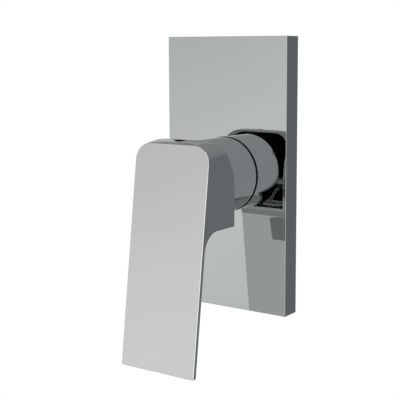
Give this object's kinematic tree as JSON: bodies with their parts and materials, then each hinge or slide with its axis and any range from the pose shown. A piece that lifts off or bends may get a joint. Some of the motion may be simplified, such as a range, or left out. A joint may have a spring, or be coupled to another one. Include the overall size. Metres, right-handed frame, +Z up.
{
  "type": "concealed shower mixer",
  "caption": "Concealed shower mixer: flat lever on a round neck over a rectangular chrome wall plate, with a ceramic disc cartridge in a brass body for the wall.",
  "frame": {"origin": "on the cartridge's axis, in the plane of the finished wall, where the wall plate's back rim rests", "axes": "+Z up along the plate's height, -Y out of the wall towards the user, +X to the user's right"},
  "size_m": [0.09, 0.123, 0.1987],
  "materials": {
    "chrome": "mirror-polished chrome plate",
    "brass": "machined and cast brass",
    "black_rubber": "moulded rubber",
    "foam": "closed-cell foam strip",
    "grey_plastic": "moulded acetal",
    "black_plastic": "moulded acetal",
    "red_plastic": "moulded plastic",
    "white_plastic": "moulded plastic",
    "ceramic": "lapped alumina",
    "steel": "turned stainless steel"
  },
  "bodies": {
    "mixer": {"wall_plate": "chrome", "neck_sleeve": "chrome", "valve_body": "brass", "cartridge_nut": "brass", "outlet_plug": "brass", "sleeve_seal": "black_rubber", "plate_grip_ring": "black_rubber", "sleeve_grip_rings": "black_rubber", "base_seals": "black_rubber", "disc_seal": "black_rubber", "plug_seal": "black_rubber", "plate_gasket": "foam", "cartridge_housing": "grey_plastic", "cartridge_base": "grey_plastic", "glide_ring": "grey_plastic", "stop_ring": "red_plastic", "hot_inlet_strainer": "white_plastic", "cold_inlet_strainer": "white_plastic", "fixed_disc": "ceramic"},
    "swivel": {"lever_guide": "black_plastic", "pivot_pin": "steel"},
    "lever": {"stem": "steel", "handle": "chrome", "handle_insert": "black_plastic", "handle_screw": "steel"},
    "disc_slide": {"disc_carrier": "black_plastic", "moving_disc": "ceramic"}
  },
  "joints": [
    {"name": "handle_swivel", "type": "hinge", "parent": "mixer", "child": "swivel", "pos_m": [0, -0.03055, 0], "axis": [0, -1, 0], "range_deg": [-45, 45]},
    {"name": "handle_lift", "type": "hinge", "parent": "swivel", "child": "lever", "pos_m": [0, -0.03055, 0], "axis": [-1, 0, 0], "range_deg": [0, 25]},
    {"name": "disc_travel", "type": "slide", "parent": "swivel", "child": "disc_slide", "axis": [0, 0, -1], "range_m": [0, 0.0036]}
  ],
  "couplings": [
    {"joint": "disc_travel", "follows": "handle_lift", "m_per_rad": 0.008}
  ]
}
